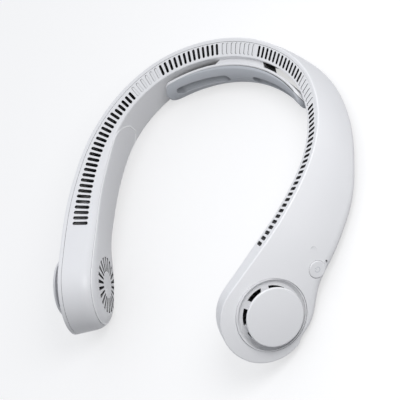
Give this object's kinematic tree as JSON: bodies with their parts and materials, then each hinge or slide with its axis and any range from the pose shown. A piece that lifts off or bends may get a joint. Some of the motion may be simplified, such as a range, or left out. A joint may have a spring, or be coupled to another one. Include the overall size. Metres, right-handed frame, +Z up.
{
  "type": "electric neck fan",
  "caption": "Horseshoe neck fan: hollow band with vent slots, round fan pods with intake caps and outlet grilles, soft neck pad, power button and charging socket.",
  "frame": {"origin": "middle of the bounding box at the table that the fan stands on", "axes": "+X to the pod with the power button, +Y to the back of the neck, +Z up from the table"},
  "size_m": [0.2008, 0.1922, 0.0523],
  "materials": {
    "white_plastic": "satin moulded",
    "grey_silicone": "soft matt",
    "dark_plastic": "moulded",
    "black_plastic": "moulded",
    "black_insulation": "matt",
    "black_foam": "foam",
    "green_board": "lacquered",
    "clear_plastic": "clear",
    "steel": "machined",
    "plated_steel": "plated",
    "core_steel": "laminated",
    "magnet": "sintered",
    "bronze": "sintered",
    "copper_wire": "enamelled",
    "aluminium": "machined",
    "cell_wrap": "shrink film"
  },
  "bodies": {
    "band": {"battery_cable": "black_insulation", "battery_foam_left": "black_foam", "battery_foam_right": "black_foam", "battery_left": "cell_wrap", "battery_right": "cell_wrap", "board_screws": "steel", "charging_socket": "plated_steel", "control_board": "green_board", "housing_screws": "steel", "inner_cover_left": "white_plastic", "inner_cover_right": "white_plastic", "inner_shell": "white_plastic", "intake_cap_left": "white_plastic", "intake_cap_right": "white_plastic", "intake_ring_left": "white_plastic", "intake_ring_right": "white_plastic", "light_pipe": "clear_plastic", "motor_base_left": "aluminium", "motor_base_right": "aluminium", "motor_bush_left": "bronze", "motor_bush_right": "bronze", "neck_pad": "grey_silicone", "outer_shell": "white_plastic", "pad_carrier": "white_plastic", "pad_mount": "white_plastic", "pad_screws": "steel", "push_switch": "black_plastic", "stator_coils_left": "copper_wire", "stator_coils_right": "copper_wire", "stator_core_left": "core_steel", "stator_core_right": "core_steel"},
    "left_rotor": {"impeller_left": "dark_plastic", "motor_shaft_left": "steel", "rotor_bell_left": "plated_steel", "rotor_magnet_left": "magnet"},
    "right_rotor": {"impeller_right": "dark_plastic", "motor_shaft_right": "steel", "rotor_bell_right": "plated_steel", "rotor_magnet_right": "magnet"},
    "button": {"power_button": "white_plastic"}
  },
  "joints": [
    {"name": "left_fan_spin", "type": "hinge", "parent": "band", "child": "left_rotor", "pos_m": [-0.06872, -0.06414, 0.01976], "axis": [-0.8668, -0.2921, 0.4041], "continuous": true},
    {"name": "right_fan_spin", "type": "hinge", "parent": "band", "child": "right_rotor", "pos_m": [0.06872, -0.06414, 0.01976], "axis": [0.8668, -0.2921, 0.4041], "continuous": true},
    {"name": "button_press", "type": "slide", "parent": "band", "child": "button", "axis": [-0.9136, 0.2832, -0.2916], "range_m": [0, 0.0005], "stiffness_N_per_m": 1500, "springref_m": -0.0008}
  ]
}
